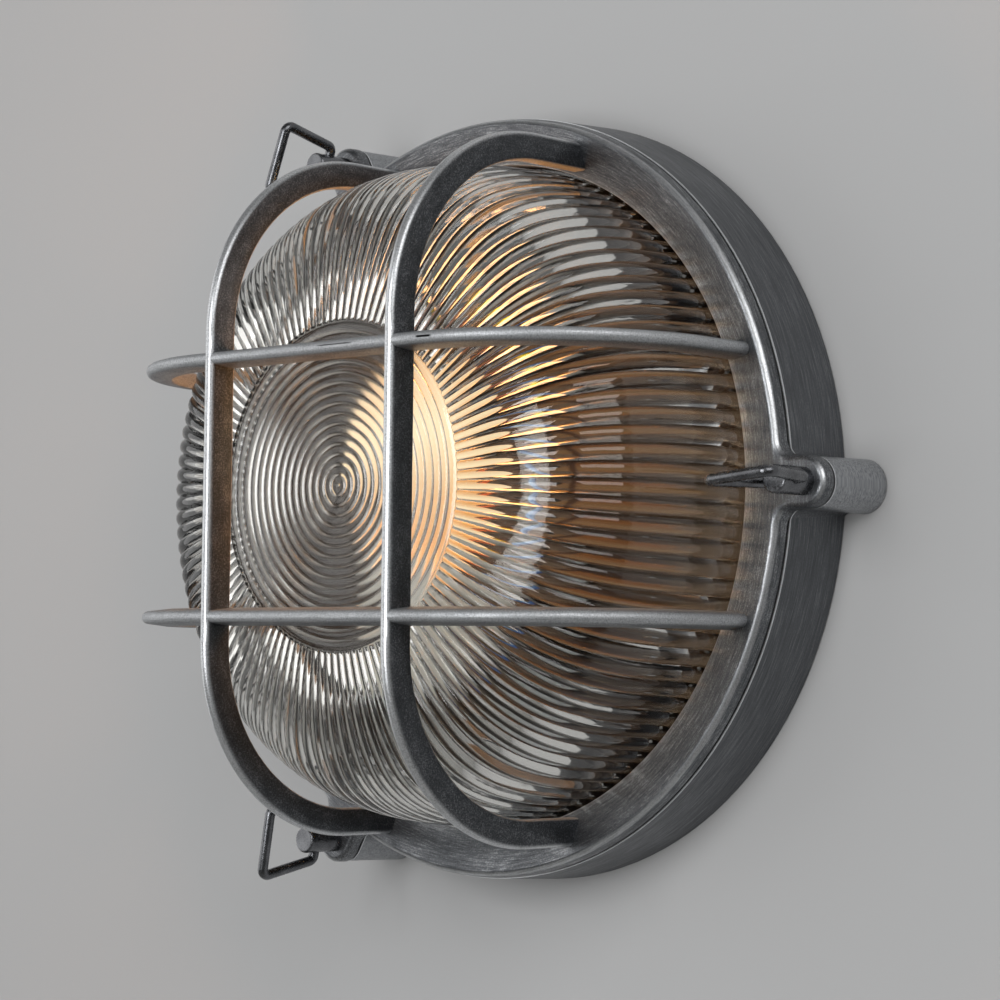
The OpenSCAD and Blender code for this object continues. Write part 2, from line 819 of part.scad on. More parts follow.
module lens_clips() {
    color("silver")
        on_wall()
            at_clips()
                translate([0, 0, flange_back - clip_t])
                    difference() {
                        translate([clip_from - boss_at, -clip_w / 2, 0])
                            cube([clip_to - clip_from, clip_w, clip_t]);
                        translate([0, 0, -cut])
                            cylinder(r = clip_screw_r + screw_clear, h = clip_t + 2 * cut);
                    }
}

module clip_screws() {
    color("gainsboro")
        on_wall()
            at_clips()
                translate([0, 0, flange_back - clip_t])
                    rotate([180, 0, 0])
                        pan_screw(clip_screw_r, clip_t + clip_thread - 2 * cut);
}

module screw_retainers() {
    color("whitesmoke")
        on_wall()
            at_lugs()
                translate([0, 0, guard_back - retainer_gap - retainer_t])
                    difference() {
                        cylinder(r = retainer_r, h = retainer_t);
                        translate([0, 0, -cut])
                            cylinder(r = hole_r, h = retainer_t + 2 * cut);
                    }
}

// Thumbscrews and bails

module thumbscrew(angle, turn) {
    tip = housing_depth - thread_l + cut;
    head_from = ring_front + seat_gap;
    head_to = ring_front + head_l;
    color("darkslategray")
        on_wall()
            rotate([0, 0, angle])
                translate([screw_at, 0, 0])
                    rotate([0, 0, turn - angle])
                        difference() {
                            rotate_extrude()
                                polygon(concat(
                                    [[0, tip], [shank_r - head_edge, tip], [shank_r, tip + head_edge],
                                        [shank_r, head_from], [head_r, head_from]],
                                    arc([head_r - head_edge, head_to - head_edge], head_edge, 0, 90, 3),
                                    [[0, head_to]]));
                            translate([-head_r - cut, 0, bail_hole_d])
                                rotate([0, 90, 0])
                                    cylinder(r = pin_r + pin_clear, h = 2 * (head_r + cut));
                        }
}

// Right half of the bail's centre line, from the cross hole out to the far side
function bail_line() =
    let (b = wire_bend_r, low = [leg_x - b * tan(leg_angle / 2), b],
        top_y = bail_reach - b, top = [leg_x + (top_y * cos(leg_angle) - b) / sin(leg_angle), top_y])
    concat([[low[0] - wire_stub, 0]], arc(low, b, -90, leg_angle - 90, 5),
        arc(top, b, leg_angle - 90, 90, 6));

module bail(angle, turn) {
    half = bail_line();
    last = len(half) - 1;
    path = concat([for (p = half) [p[0], p[1], 0]],
        [for (k = [last:-1:0]) [-half[k][0], half[k][1], 0]]);
    pin_end = half[0][0] + wire_stub / 2;
    color("dimgray")
        on_wall()
            rotate([0, 0, angle])
                translate([screw_at, 0, bail_hole_d])
                    rotate([0, 0, turn - angle])
                        rotate([90, 0, 0]) {
                            tube(path, wire_r, wire_sides, [0, 0, 1]);
                            for (s = [-1, 1])
                                translate([s * (head_r - pin_l), 0, 0])
                                    rotate([0, s * 90, 0])
                                        cylinder(r = pin_r, h = pin_end - head_r + pin_l);
                        }
}

module thumbscrew_right() {
    thumbscrew(screw_angles[0], turn_right);
}

module thumbscrew_upper() {
    thumbscrew(screw_angles[1], turn_upper);
}

module thumbscrew_lower() {
    thumbscrew(screw_angles[2], turn_lower);
}

module bail_right() {
    bail(screw_angles[0], turn_right);
}

module bail_upper() {
    bail(screw_angles[1], turn_upper);
}

module bail_lower() {
    bail(screw_angles[2], turn_lower);
}

rear_housing();
rim_gasket();
cable_grommet();
lampholder_bracket();
bracket_screws();
lampholder();
lampholder_shell();
lampholder_contact();
lampholder_screws();
terminal_block();
terminal_screws();
terminal_fixing_screw();
earth_screw();
live_wire();
neutral_wire();
earth_wire();
bulb();
guard();
lens();
lens_gasket();
lens_clips();
clip_screws();
screw_retainers();
thumbscrew_right();
thumbscrew_upper();
thumbscrew_lower();
bail_right();
bail_upper();
bail_lower();
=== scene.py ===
import math
import bmesh
import bpy
from mathutils import Matrix, Vector


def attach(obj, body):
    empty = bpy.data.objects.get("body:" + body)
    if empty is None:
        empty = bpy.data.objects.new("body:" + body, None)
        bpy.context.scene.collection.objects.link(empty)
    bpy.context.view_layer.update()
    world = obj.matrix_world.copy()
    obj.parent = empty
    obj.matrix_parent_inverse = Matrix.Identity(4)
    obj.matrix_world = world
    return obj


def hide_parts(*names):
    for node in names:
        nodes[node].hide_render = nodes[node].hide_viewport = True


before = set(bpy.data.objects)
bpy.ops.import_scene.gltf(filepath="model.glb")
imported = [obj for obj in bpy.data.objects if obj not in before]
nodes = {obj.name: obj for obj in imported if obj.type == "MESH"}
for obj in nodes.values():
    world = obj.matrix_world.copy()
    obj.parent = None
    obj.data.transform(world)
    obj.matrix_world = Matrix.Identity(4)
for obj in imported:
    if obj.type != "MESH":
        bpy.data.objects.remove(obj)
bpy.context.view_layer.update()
scene = bpy.context.scene
mm = 0.001
tau = 2 * math.pi
weld = 1e-6  # metres within which vertices are merged


def place(x, z, depth):  # millimetres across, up and out from the wall
    return Vector((x, -depth, z)) * mm


def polar(radius, degrees, depth):
    angle = math.radians(degrees)
    return place(radius * math.cos(angle), radius * math.sin(angle), depth)


def linear(colour):  # sRGB hex to the linear values that shaders take
    parts = [int(colour[i:i + 2], 16) / 255 for i in (1, 3, 5)]
    return [p / 12.92 if p <= 0.04045 else ((p + 0.055) / 1.055) ** 2.4 for p in parts] + [1]


def addNode(tree, kind, inputs=None, **settings):
    node = tree.nodes.new(kind)
    for name, value in settings.items():
        setattr(node, name, value)
    for key, value in (inputs or {}).items():
        if isinstance(value, bpy.types.NodeSocket):
            tree.links.new(value, node.inputs[key])
        else:
            node.inputs[key].default_value = value
    return node


def newMaterial(name):
    material = bpy.data.materials.new(name)
    material.use_nodes = True
    material.node_tree.nodes.clear()
    return material, material.node_tree


def closeMaterial(tree, surface):
    addNode(tree, "ShaderNodeOutputMaterial", {"Surface": surface})


# camera, from the fit of the rim, lugs and bars to the photograph
cameraView = {"place": (0.5484, -0.5931, -0.0471), "yaw": 43.61, "pitch": 3.34, "roll": 0.67,
              "lens": 99.32, "sensor": 36, "near": 0.01}


def makeCamera():
    yaw, pitch, roll = (math.radians(cameraView[k]) for k in ("yaw", "pitch", "roll"))
    flat = math.cos(pitch)
    forward = Vector((-math.sin(yaw) * flat, math.cos(yaw) * flat, math.sin(pitch)))
    level = Vector((math.cos(yaw), math.sin(yaw), 0))
    upright = level.cross(forward)
    right = math.cos(roll) * level + math.sin(roll) * upright
    up = math.cos(roll) * upright - math.sin(roll) * level
    data = bpy.data.cameras.new("photoCamera")
    data.lens = cameraView["lens"]
    data.sensor_width = cameraView["sensor"]
    data.clip_start = cameraView["near"]
    camera = bpy.data.objects.new("photoCamera", data)
    turn = Matrix((right, up, -forward)).transposed().to_4x4()
    camera.matrix_world = Matrix.Translation(cameraView["place"]) @ turn
    scene.collection.objects.link(camera)
    scene.camera = camera


makeCamera()
print("camera set")


# materials
hairNoise = {"Scale": 1, "Detail": 2, "Roughness": 0.6}
pewterWear = {
    "crest": (0.98, 0.7), "edge": (-0.25, -0.48),  # how a face is turned, from dark to bright: rubbed wear and a painted highlight
    "marks": (0.36, 0.56), "least": 0.5,  # in deep marks, only this share of the dark is rubbed off
    "clouds": (0.3, 0.7), "tones": (0.33, 0.52, 0.72), "lugTones": (0.35, 0.65),
    "glossTones": (0.3, 0.72), "gloss": 0.08, "bumpDepth": 0.06, "scratchCore": 0.7,
    "rimRadius": 110}  # where streaks have their full length


def brushedAlong(tree, where, look):  # bars: hairlines lengthways
    fine = 1 / (look["hair"] * mm)
    long = 1 / (look["streak"] * mm)
    stretch = [fine if side else long for side in look["flank"]]
    brush = addNode(tree, "ShaderNodeVectorMath", {0: where.outputs["Object"], 1: stretch},
                    operation="MULTIPLY")
    return addNode(tree, "ShaderNodeTexNoise", {"Vector": brush.outputs[0], **hairNoise}).outputs[0]


def brushedRound(tree, look, radius, spoke, depth):  # ring and pan: hairlines round the axis
    fine = 1 / (look["hair"] * mm)
    around = pewterWear["rimRadius"] / look["streak"]
    turns = addNode(tree, "ShaderNodeSeparateXYZ", {0: spoke})
    across = addNode(tree, "ShaderNodeMath", {0: radius, 1: fine}, operation="MULTIPLY")
    deep = addNode(tree, "ShaderNodeMath", {0: depth, 1: fine}, operation="MULTIPLY")
    alongX = addNode(tree, "ShaderNodeMath", {0: turns.outputs[0], 1: around}, operation="MULTIPLY")
    alongZ = addNode(tree, "ShaderNodeMath", {0: turns.outputs[2], 1: around}, operation="MULTIPLY")
    brush = addNode(tree, "ShaderNodeCombineXYZ",
                    {0: across.outputs[0], 1: deep.outputs[0], 2: alongX.outputs[0]})
    hair = addNode(tree, "ShaderNodeTexNoise",
                   {"Vector": brush.outputs[0], "W": alongZ.outputs[0], **hairNoise}, noise_dimensions="4D")
    return hair.outputs[0]


def panLayers(tree, look, radius, depth, hair, grain):
    # paler lugs, partly rubbed wear and partly a painted highlight; a painted highlight along the seam; a
    # bare casting inside the pan, tinted warm brown as a painted glow of the bulb
    low, high = pewterWear["lugTones"]
    # lugs painted paler: partly rubbed wear, partly a painted highlight
    lugs = addNode(tree, "ShaderNodeMapRange", {0: radius, 1: look["lugFrom"] * mm, 2: look["lugTo"] * mm})
    lugTone = addNode(tree, "ShaderNodeMapRange", {0: hair, 1: low, 2: high})
    lug = addNode(tree, "ShaderNodeMix", {0: lugTone.outputs[0], 6: linear(look["lug"]),
                  7: linear(look["lugPale"])}, data_type="RGBA")
    # painted highlight: the front rim of the pan at the seam takes the bright edge colour
    seam = addNode(tree, "ShaderNodeMath", {0: depth, 1: -look["seam"] * mm}, operation="LESS_THAN")
    # inside of the pan: bare casting tinted warm brown as a painted glow of the bulb
    near = addNode(tree, "ShaderNodeMath", {0: radius, 1: look["panRadius"] * mm}, operation="LESS_THAN")
    above = addNode(tree, "ShaderNodeMath", {0: depth, 1: -look["panFloor"] * mm}, operation="LESS_THAN")
    inner = addNode(tree, "ShaderNodeMath", {0: near.outputs[0], 1: above.outputs[0]}, operation="MULTIPLY")
    bare = addNode(tree, "ShaderNodeMix", {0: grain, 6: linear(look["inside"]),
                   7: linear(look["insidePale"])}, data_type="RGBA")
    return [(lugs.outputs[0], lug.outputs[2]), (seam.outputs[0], linear(look["edge"])),
            (inner.outputs[0], bare.outputs[2])]


def scratchLayer(tree, axes, scratch):
    share = scratch["share"]
    for axis, middle, half in ((0, scratch["x"], scratch["half"]), (2, scratch["z"], scratch["wide"])):
        off = addNode(tree, "ShaderNodeMath", {0: axes.outputs[axis], 1: middle * mm}, operation="SUBTRACT")
        away = addNode(tree, "ShaderNodeMath", {0: off.outputs[0]}, operation="ABSOLUTE")
        within = addNode(tree, "ShaderNodeMapRange", {0: away.outputs[0], 1: half * mm,
                         2: half * mm * pewterWear["scratchCore"], 3: 0, 4: share})
        share = within.outputs[0]
    return share, linear(scratch["colour"])


def pewter(name, look):
    # Cast aluminium under a dark antique pewter finish: fine pale hairlines or grain; edges and crests that
    # face the front rubbed bright and painted bright as a highlight.
    wear = pewterWear
    material, tree = newMaterial(name)
    where = addNode(tree, "ShaderNodeTexCoord")
    axes = addNode(tree, "ShaderNodeSeparateXYZ", {0: where.outputs["Object"]})
    grain = addNode(tree, "ShaderNodeTexNoise", {"Vector": where.outputs["Object"],
                    "Scale": 1 / (look["grain"] * mm), "Detail": 2, "Roughness": 0.7})
    patch = addNode(tree, "ShaderNodeTexNoise", {"Vector": where.outputs["Object"],
                    "Scale": 1 / (look["patch"] * mm), "Detail": 2, "Roughness": 0.5})
    layers = []
    if "flank" in look:  # bars: crests rubbed and painted bright as a highlight, flanks left at the darker base tone
        hair = brushedAlong(tree, where, look)
        turned = addNode(tree, "ShaderNodeVectorMath", {0: where.outputs["Normal"], 1: look["flank"]},
                         operation="DOT_PRODUCT")
        facing = addNode(tree, "ShaderNodeMath", {0: turned.outputs["Value"]}, operation="ABSOLUTE")
        dull, bright = wear["crest"]
    else:  # rounded edges, which face half outwards and half to the front, rubbed and painted bright as a highlight
        flat = addNode(tree, "ShaderNodeVectorMath", {0: where.outputs["Object"], 1: (1, 0, 1)},
                       operation="MULTIPLY")
        radius = addNode(tree, "ShaderNodeVectorMath", {0: flat.outputs[0]}, operation="LENGTH")
        spoke = addNode(tree, "ShaderNodeVectorMath", {0: flat.outputs[0]}, operation="NORMALIZE")
        hair = brushedRound(tree, look, radius.outputs["Value"], spoke.outputs[0], axes.outputs[1])
        toFront = addNode(tree, "ShaderNodeSeparateXYZ", {0: where.outputs["Normal"]})
        sideways = addNode(tree, "ShaderNodeVectorMath", {0: where.outputs["Normal"], 1: spoke.outputs[0]},
                           operation="DOT_PRODUCT")
        inOrOut = addNode(tree, "ShaderNodeMath", {0: sideways.outputs["Value"]}, operation="ABSOLUTE")
        facing = addNode(tree, "ShaderNodeMath", {0: toFront.outputs[1], 1: inOrOut.outputs[0]},
                         operation="MULTIPLY")
        dull, bright = wear["edge"]
    if "inside" in look:
        layers += panLayers(tree, look, radius.outputs["Value"], axes.outputs[1], hair, grain.outputs[0])
    layers += [scratchLayer(tree, axes, scratch) for scratch in look.get("scratches", ())]

    # tone, from the marks and a faint cloudiness
    marks = addNode(tree, "ShaderNodeMix", {0: look["brushed"], 2: grain.outputs[0], 3: hair})
    cloud = addNode(tree, "ShaderNodeMapRange", {0: patch.outputs[0], 1: wear["clouds"][0],
                    2: wear["clouds"][1], 3: -look["cloud"], 4: look["cloud"]})
    tone = addNode(tree, "ShaderNodeMath", {0: marks.outputs[0], 1: cloud.outputs[0]}, operation="ADD")
    colours = addNode(tree, "ShaderNodeValToRGB", {0: tone.outputs[0]})
    stops = colours.color_ramp.elements
    stops[0].position, stops[0].color = wear["tones"][0], linear(look["dark"])
    stops[1].position, stops[1].color = wear["tones"][2], linear(look["pale"])
    stops.new(wear["tones"][1]).color = linear(look["mid"])

    # wear and painted highlight, less in the marks
    # faces turned to the front are mixed toward the edge colour: rubbed wear and a painted highlight
    rubAndHighlightMask = addNode(tree, "ShaderNodeMapRange", {0: facing.outputs[0], 1: dull, 2: bright,
                  3: 0, 4: look["rubAndHighlight"]})
    left = addNode(tree, "ShaderNodeMapRange", {0: marks.outputs[0], 1: wear["marks"][0],
                   2: wear["marks"][1], 3: wear["least"], 4: 1})
    wornAndHighlit = addNode(tree, "ShaderNodeMath", {0: rubAndHighlightMask.outputs[0], 1: left.outputs[0]}, operation="MULTIPLY")
    colour = addNode(tree, "ShaderNodeMix",
                     {0: wornAndHighlit.outputs[0], 6: colours.outputs[0], 7: linear(look["edge"])}, data_type="RGBA")
    for share, over in layers:
        colour = addNode(tree, "ShaderNodeMix", {0: share, 6: colour.outputs[2], 7: over}, data_type="RGBA")
    rough = addNode(tree, "ShaderNodeMapRange", {0: tone.outputs[0], 1: wear["glossTones"][0],
                    2: wear["glossTones"][1], 3: look["rough"] + wear["gloss"],
                    4: look["rough"] - wear["gloss"]})
    if "inside" in look:  # the last layer is the inside
        rough = addNode(tree, "ShaderNodeMix", {0: layers[-1][0], 2: rough.outputs[0],
                        3: look["insideRough"]})
    bump = addNode(tree, "ShaderNodeBump", {"Strength": look["bump"], "Distance": wear["bumpDepth"] * mm,
                   "Height": marks.outputs[0]})
    shader = addNode(tree, "ShaderNodeBsdfPrincipled", {"Base Color": colour.outputs[2],
                     "Metallic": look["metal"], "Roughness": rough.outputs[0], "Normal": bump.outputs[0]})
    closeMaterial(tree, shader.outputs[0])
    return material


plainWear = {"tones": (0.35, 0.65), "glossTones": (0.3, 0.7), "gloss": 0.06, "bumpDepth": 0.05}


def mottled(name, look):
    # One build for the plain finishes: two close tones in soft patches, and a fine grain in the gloss.
    wear = plainWear
    material, tree = newMaterial(name)
    where = addNode(tree, "ShaderNodeTexCoord")
    patch = addNode(tree, "ShaderNodeTexNoise", {"Vector": where.outputs["Object"],
                    "Scale": 1 / (look["patch"] * mm), "Detail": 1, "Roughness": 0.6})
    grain = addNode(tree, "ShaderNodeTexNoise", {"Vector": where.outputs["Object"],
                    "Scale": 1 / (look["grain"] * mm), "Detail": 0})
    share = addNode(tree, "ShaderNodeMapRange", {0: patch.outputs[0], 1: wear["tones"][0],
                    2: wear["tones"][1]})
    colour = addNode(tree, "ShaderNodeMix",
                     {0: share.outputs[0], 6: linear(look["one"]), 7: linear(look["two"])}, data_type="RGBA")
    rough = addNode(tree, "ShaderNodeMapRange", {0: grain.outputs[0], 1: wear["glossTones"][0],
                    2: wear["glossTones"][1], 3: look["rough"] - wear["gloss"],
                    4: look["rough"] + wear["gloss"]})
    bump = addNode(tree, "ShaderNodeBump", {"Strength": look["bump"], "Distance": wear["bumpDepth"] * mm,
                   "Height": grain.outputs[0]})
    if "round" in look:  # edges that catch the light
        soft = addNode(tree, "ShaderNodeBevel", {"Radius": look["round"] * mm}, samples=3)
        tree.links.new(soft.outputs[0], bump.inputs["Normal"])
    shader = addNode(tree, "ShaderNodeBsdfPrincipled", {"Base Color": colour.outputs[2],
                     "Metallic": look["metal"], "Roughness": rough.outputs[0], "Normal": bump.outputs[0]})
    closeMaterial(tree, shader.outputs[0])
    return material


def pressedGlass(name, rough):
    # Pressed soda glass: clear with the faint warm grey of iron. Fire polished and slightly rippled outside,
    # stippled by the plunger inside, so that the bulb shows as a glow.
    look = {"tint": "#f7f6f1", "ior": 1.5, "ripple": 6, "bump": 0.25, "bumpDepth": 0.15}
    material, tree = newMaterial(name)
    where = addNode(tree, "ShaderNodeTexCoord")
    ripple = addNode(tree, "ShaderNodeTexNoise", {"Vector": where.outputs["Object"],
                     "Scale": 1 / (look["ripple"] * mm), "Detail": 0})
    bump = addNode(tree, "ShaderNodeBump", {"Strength": look["bump"], "Distance": look["bumpDepth"] * mm,
                   "Height": ripple.outputs[0]})
    shader = addNode(tree, "ShaderNodeBsdfPrincipled",
                     {"Base Color": linear(look["tint"]), "Roughness": rough, "IOR": look["ior"],
                      "Transmission Weight": 1, "Normal": bump.outputs[0]})
    closeMaterial(tree, shader.outputs[0])
    return material


def litOpal():
    # Opal glass globe of a lit filament bulb: white skin, a pale hot belt round the filament and amber poles.
    look = {"skin": "#a2937c", "core": "#ffe5ba", "rim": "#e09a50", "strength": 1.0, "rough": 0.3,
            "middle": 15, "reach": 30}
    material, tree = newMaterial("litOpalGlass")
    where = addNode(tree, "ShaderNodeTexCoord")
    axes = addNode(tree, "ShaderNodeSeparateXYZ", {0: where.outputs["Object"]})
    away = addNode(tree, "ShaderNodeMath", {0: axes.outputs[2], 1: look["middle"] * mm}, operation="SUBTRACT")
    height = addNode(tree, "ShaderNodeMath", {0: away.outputs[0]}, operation="ABSOLUTE")
    share = addNode(tree, "ShaderNodeMapRange", {0: height.outputs[0], 1: 0, 2: look["reach"] * mm},
                    interpolation_type="SMOOTHSTEP")
    warm = addNode(tree, "ShaderNodeMix",
                   {0: share.outputs[0], 6: linear(look["core"]), 7: linear(look["rim"])}, data_type="RGBA")
    shader = addNode(tree, "ShaderNodeBsdfPrincipled",
                     {"Base Color": linear(look["skin"]), "Roughness": look["rough"],
                      "Emission Color": warm.outputs[2], "Emission Strength": look["strength"]})
    closeMaterial(tree, shader.outputs[0])
    return material


# hair and grain are drawn coarser than real, so that they show
barLook = {"hair": 0.35, "streak": 7, "grain": 0.4, "patch": 12, "brushed": 0.25, "cloud": 0.02,
           "bump": 0.3, "metal": 0.84}
scratches = [  # two, on the upper level bar
    {"x": 48.4, "z": 35.9, "half": 2.8, "wide": 0.34, "share": 1, "colour": "#060607"},
    {"x": 15.3, "z": 36.1, "half": 7.4, "wide": 0.22, "share": 0.8, "colour": "#1c1d1e"}]
finishes = {
    # pan: paler lugs partly a painted highlight, the bright seam line a painted highlight, the inside tinted
    # warm as painted bulb glow
    "pan": pewter("brushedDarkPewter", {"dark": "#5a5c5f", "mid": "#696b6e", "pale": "#8a8c8f",
                  "edge": "#dcdee0", "hair": 0.35, "streak": 9, "grain": 0.5, "patch": 30, "brushed": 0.75,
                  "cloud": 0.04, "rubAndHighlight": 0, "rough": 0.42, "bump": 0.12, "metal": 0.95,
                  "lugFrom": 110.5, "lugTo": 114,
                  "lug": "#8b8d90", "lugPale": "#b7b9bc", "panRadius": 105.3, "panFloor": 3.3, "seam": 21.3,
                  "inside": "#564b40", "insidePale": "#695d4f", "insideRough": 0.14}),
    # ring: the edge colour on its rounded front edge is rubbed wear and a painted highlight
    "ring": pewter("brushedPewter", {"dark": "#4b4d50", "mid": "#6e7073", "pale": "#b3b5b7",
                   "edge": "#e0e2e4", "hair": 0.35, "streak": 5, "grain": 0.4, "patch": 14, "brushed": 0.55,
                   "cloud": 0.05, "rubAndHighlight": 0.8, "rough": 0.38, "bump": 0.25, "metal": 0.95}),
    # level bars painted paler and more even than the upright bars, as lit from above: painted light
    "level": pewter("satinPewterPaintedLit.level", {**barLook, "dark": "#6d6f71", "mid": "#909295", "pale": "#babcbe",
                    "edge": "#d6d8da", "rubAndHighlight": 0.5, "rough": 0.53, "flank": (0, 0, 1),
                    "scratches": scratches}),
    # upright bars painted darker as shaded flanks, with crests painted bright as a highlight: painted shade
    # and highlight
    "upright": pewter("satinPewterPaintedShade.upright", {**barLook, "dark": "#313335", "mid": "#494b4e",
                      "pale": "#85878a", "edge": "#dadcde", "rubAndHighlight": 0.95, "rough": 0.34,
                      "flank": (1, 0, 0)}),
    "glass": pressedGlass("pressedClearGlass", 0.015),
    "stipple": pressedGlass("stippledClearGlass", 0.06),
    "frost": pressedGlass("frostedClearGlass", 0.2),
    "opal": litOpal(),
    # Steel wire and screws, blackened and oiled: near black with clear highlights.
    "gunmetal": mottled("blackenedSteel", {"one": "#66676a", "two": "#7a7b7e", "patch": 5, "grain": 0.6,
                        "rough": 0.25, "bump": 0.06, "metal": 1, "round": 0.5}),
    # Moulded nitrile: matt black with a dusty bloom.
    "rubber": mottled("mouldedRubber", {"one": "#0e0e0f", "two": "#19191a", "patch": 8, "grain": 0.8,
                      "rough": 0.75, "bump": 0.2, "metal": 0}),
    # Zinc plated steel: pale spangled grey.
    "zinc": mottled("zincPlatedSteel", {"one": "#a9adb0", "two": "#c3c6c8", "patch": 4, "grain": 0.9,
                    "rough": 0.38, "bump": 0.15, "metal": 1}),
    # Glazed steatite: ivory white under a clear glaze.
    "ceramic": mottled("glazedSteatite", {"one": "#ded9cc", "two": "#e8e4da", "patch": 10, "grain": 1.2,
                       "rough": 0.18, "bump": 0.1, "metal": 0}),
    # Drawn brass: warm yellow, slightly dulled.
    "brass": mottled("drawnBrass", {"one": "#b08a45", "two": "#c39d57", "patch": 5, "grain": 0.7,
                     "rough": 0.32, "bump": 0.15, "metal": 1}),
    # Moulded nylon: waxy off-white.
    "nylon": mottled("mouldedNylon", {"one": "#d9d8d2", "two": "#e2e1dc", "patch": 9, "grain": 0.9,
                     "rough": 0.45, "bump": 0.2, "metal": 0}),
    # Extruded PVC round the wires: even colour with a soft shine.
    "brown": mottled("brownPvc", {"one": "#5b3420", "two": "#663c26", "patch": 6, "grain": 0.8,
                     "rough": 0.42, "bump": 0.1, "metal": 0}),
    "blue": mottled("bluePvc", {"one": "#24509c", "two": "#2c5cab", "patch": 6, "grain": 0.8,
                    "rough": 0.42, "bump": 0.1, "metal": 0}),
    "green": mottled("greenPvc", {"one": "#7f9c2c", "two": "#93ad38", "patch": 6, "grain": 0.8,
                     "rough": 0.42, "bump": 0.1, "metal": 0}),
}
print("materials made:", len(finishes))


def addPiece(name, bm, materials, body, replaced, sharp=35):
    for face in bm.faces:
        face.smooth = True
    for edge in bm.edges:
        edge.smooth = len(edge.link_faces) == 2 and edge.calc_face_angle(0) < math.radians(sharp)
    mesh = bpy.data.meshes.new(name)
    bm.to_mesh(mesh)
    bm.free()
    for material in materials:
        mesh.materials.append(material)
    piece = bpy.data.objects.new(name, mesh)
    scene.collection.objects.link(piece)
    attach(piece, body)
    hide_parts(*replaced)
    return piece


def spinLine(bm, line, steps, closed=False, share=1):  # a profile of (radius, depth) round the light's axis
    verts = [bm.verts.new(place(r, 0, d)) for r, d in line]
    pairs = list(zip(verts, verts[1:])) + ([(verts[-1], verts[0])] if closed else [])
    edges = [bm.edges.new(pair) for pair in pairs]
    before = set(bm.verts)
    bmesh.ops.spin(bm, geom=verts + edges, cent=(0, 0, 0), axis=(0, 1, 0), angle=tau * share, steps=steps,
                   use_merge=share == 1)
    return verts + [v for v in bm.verts if v not in before]


def arc(centre, radius, start, end, steps):
    angles = [math.radians(start + (end - start) * i / steps) for i in range(steps + 1)]
    return [(centre[0] + radius * math.cos(a), centre[1] + radius * math.sin(a)) for a in angles]


def bezier(a, b, c, d, steps):
    line = []
    for i in range(steps + 1):
        t = i / steps
        weights = ((1 - t) ** 3, 3 * t * (1 - t) ** 2, 3 * t * t * (1 - t), t ** 3)
        line.append(tuple(sum(w * p[k] for w, p in zip(weights, (a, b, c, d))) for k in (0, 1)))
    return line


def openEdges(bm, low, high):  # edges with one face, between two radii
    def within(vert):
        return low * mm < math.hypot(vert.co.x, vert.co.z) < high * mm

    return [e for e in bm.edges if e.is_boundary and all(within(v) for v in e.verts)]


ribbedLens = {
    "ribs": 116, "ribFaces": 8, "ribShare": 0.42, "ribRound": 0.9,  # a rib's depth is a share of its width
    "runOut": 9, "runLeast": 0.3,  # the ribs grow shallow over this height above the seat
    "front": 81.7, "discRadius": 45.5, "rings": 16, "ringFaces": 8, "ringHeight": 0.8, "ringRound": 0.85,
    "discSink": 0.2, "groove": 0.8, "grooveDepth": 0.75, "tips": ((0.25, 0.6), (0.2, 0.3), (0.05, 0.1)),
    "wallRadius": 94.2, "seat": 19.4, "flangeRadius": 98, "flangeBack": 15.9, "glass": 4,
    "shoulder": 34.5, "fall": 5.3, "wallLead": 53, "bands": 28, "innerBands": 22, "near": 1}


def discProfile(s):
    pitch = (s["discRadius"] - s["groove"]) / s["rings"]
    disc = [(0, s["front"])]
    for ring in range(s["rings"]):
        for k in range(1, s["ringFaces"] + 1):
            u = 2 * k / s["ringFaces"] - 1  # across one ring, -1 to 1
            lift = s["ringHeight"] * math.sqrt(max(0, 1 - s["ringRound"] * u * u))
            height = s["front"] - s["ringHeight"] + lift - s["discSink"]
            disc.append(((ring + k / s["ringFaces"]) * pitch, height))
    disc.append((s["discRadius"] - s["groove"] / 2, s["front"] - s["grooveDepth"]))
    return disc


def domeProfile(s, start, shoulder, wall, bands):
    fall = math.radians(s["fall"])
    lead = (start[0] + shoulder * math.cos(fall), start[1] - shoulder * math.sin(fall))
    return bezier(start, lead, (wall[0], wall[1] + s["wallLead"]), wall, bands)


def cutRibs(s, ribbed, dome):  # sinks the valleys of one rib's sector into the glass
    inward = []
    for before, after in zip(dome[:1] + dome, dome[1:] + dome[-1:]):  # square to the profile
        along = Vector((after[0] - before[0], after[1] - before[1])).normalized()
        inward.append((along[1], -along[0]))
    for vert in ribbed:
        radius = math.hypot(vert.co.x, vert.co.z)
        u = 2 * abs(math.atan2(vert.co.z, vert.co.x)) / tau * s["ribs"] - 1
        hollow = 1 - math.sqrt(max(0, 1 - s["ribRound"] * u * u))
        sink = s["ribShare"] * tau * radius / s["ribs"] * hollow
        r, d = radius / mm, -vert.co.y / mm
        sink *= min(1, max(s["runLeast"], (d - s["seat"]) / s["runOut"]))
        row = min(range(len(dome)), key=lambda k: abs(dome[k][0] - r) + abs(dome[k][1] - d))
        inRadius, inDepth = inward[row]
        scale = (radius + inRadius * sink) / radius
        vert.co = Vector((vert.co.x * scale, vert.co.y - inDepth * sink, vert.co.z * scale))


